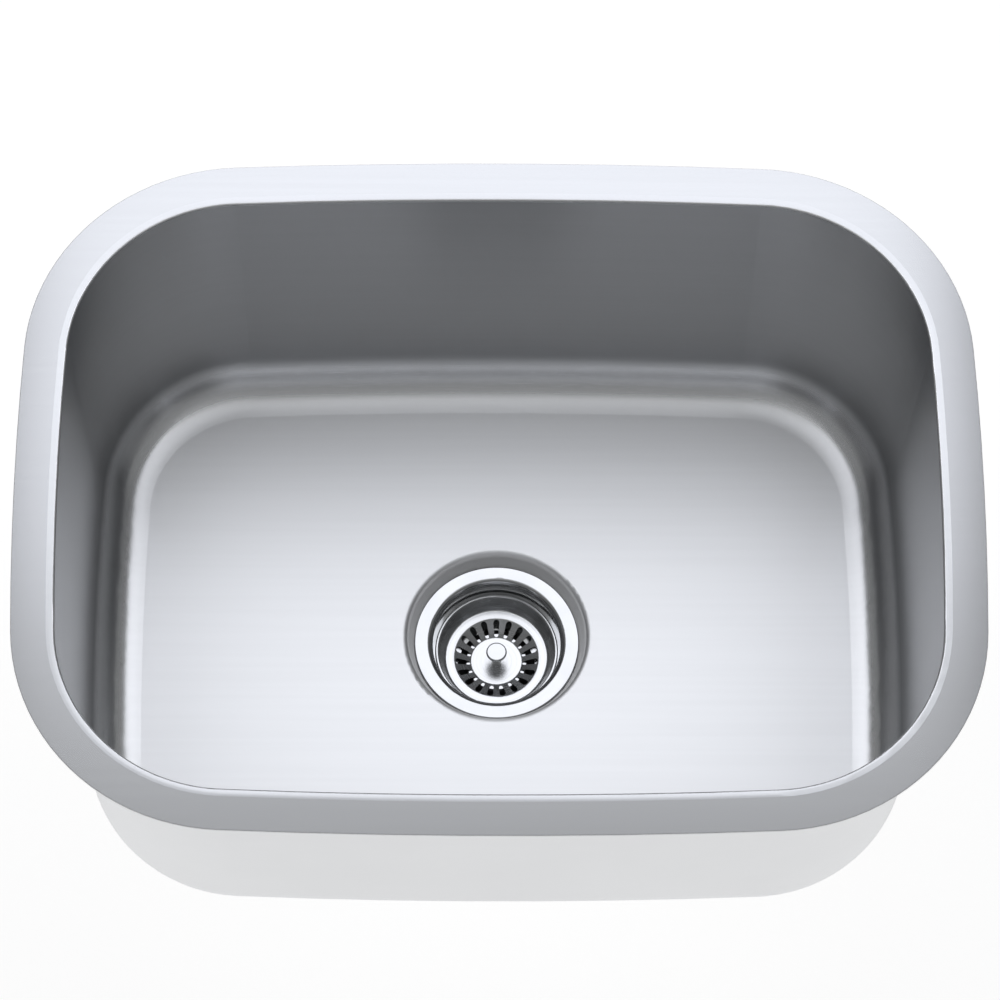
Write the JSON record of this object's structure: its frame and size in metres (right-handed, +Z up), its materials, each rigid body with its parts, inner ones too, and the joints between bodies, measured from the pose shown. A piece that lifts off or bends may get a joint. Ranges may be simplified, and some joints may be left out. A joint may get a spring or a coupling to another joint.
{
  "type": "undermount utility sink",
  "caption": "Single-bowl stainless undermount sink with a flat flange, bowed sides, rounded corners and a basket strainer whose basket lifts out of the recessed drain.",
  "frame": {"origin": "centre of the flange's top face, in the plane that meets the worktop's underside", "axes": "+X along the long side, -Y towards the user, +Z up out of the bowl"},
  "size_m": [0.5904, 0.4508, 0.3141],
  "materials": {
    "brushed_stainless": "satin, brushed along the long side",
    "polished_stainless": "polished stainless",
    "spring_steel": "plain spring strip",
    "nut_brass": "plain cast and turned brass",
    "pad_rubber": "matt sound-deadening sheet",
    "seal_rubber": "smooth black rubber",
    "seal_plastic": "pale plastic washer",
    "fibre": "pressed fibre ring"
  },
  "bodies": {
    "sink": {"sink_bowl": "brushed_stainless", "bottom_pad_left": "pad_rubber", "bottom_pad_right": "pad_rubber", "left_pad": "pad_rubber", "right_pad": "pad_rubber", "strainer_body": "polished_stainless", "outlet_spider": "polished_stainless", "flange_gasket": "seal_rubber", "sealing_washer": "seal_rubber", "friction_ring": "fibre", "lock_nut": "nut_brass", "tailpiece_washer": "seal_plastic", "coupling_nut": "nut_brass"},
    "clip": {"post_clip": "spring_steel"},
    "basket": {"basket_shell": "polished_stainless", "basket_post": "polished_stainless", "basket_knob": "polished_stainless", "backing_plate": "polished_stainless", "stopper_seal": "seal_rubber", "seal_retainer": "polished_stainless", "post_nut": "nut_brass"}
  },
  "joints": [
    {"name": "basket_lift", "type": "slide", "parent": "sink", "child": "clip", "axis": [0, 0, 1], "range_m": [0, 0.315]},
    {"name": "basket_turn", "type": "hinge", "parent": "clip", "child": "basket", "pos_m": [0, 0, -0.2715], "axis": [0, 0, 1], "continuous": true}
  ]
}
